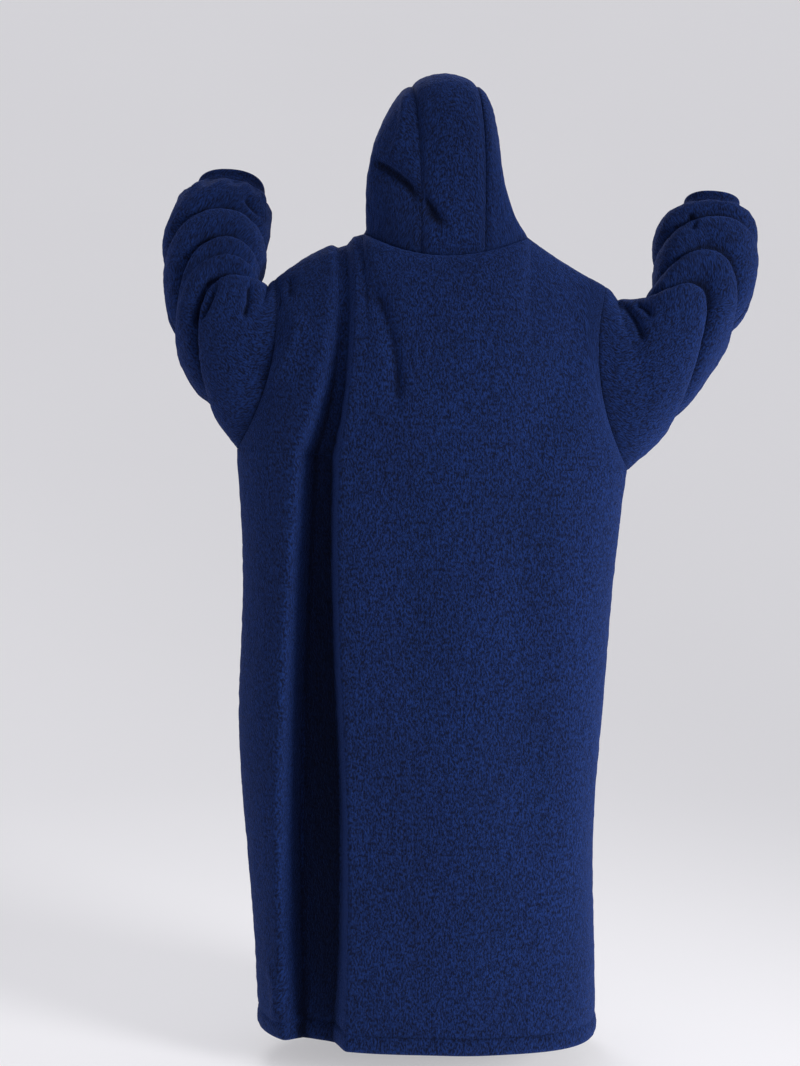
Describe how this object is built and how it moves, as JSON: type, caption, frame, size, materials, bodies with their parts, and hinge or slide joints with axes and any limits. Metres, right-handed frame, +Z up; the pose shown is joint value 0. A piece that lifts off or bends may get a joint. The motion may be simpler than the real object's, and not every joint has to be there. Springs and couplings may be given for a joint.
{
  "type": "wearable blanket hoodie",
  "caption": "Ankle-length pile-fleece hoodie in its worn shape: hood up, elbows bent and raised, bunched balloon sleeves with narrow cuffs, a deep fold down the back.",
  "frame": {"origin": "on the wearer's shoulders, at the centre of the neck's base", "axes": "+Z up, -Y to the garment's front, +X to the wearer's left"},
  "size_m": [1.0258, 0.4199, 1.6145],
  "materials": {
    "fleece": "matt, thick navy pile with darker roots"
  },
  "bodies": {
    "root": {"back": "fleece", "front": "fleece", "sleeve_right": "fleece", "sleeve_left": "fleece", "cuff_right": "fleece", "cuff_left": "fleece", "hood_centre": "fleece", "hood_right": "fleece", "hood_left": "fleece"}
  },
  "joints": []
}
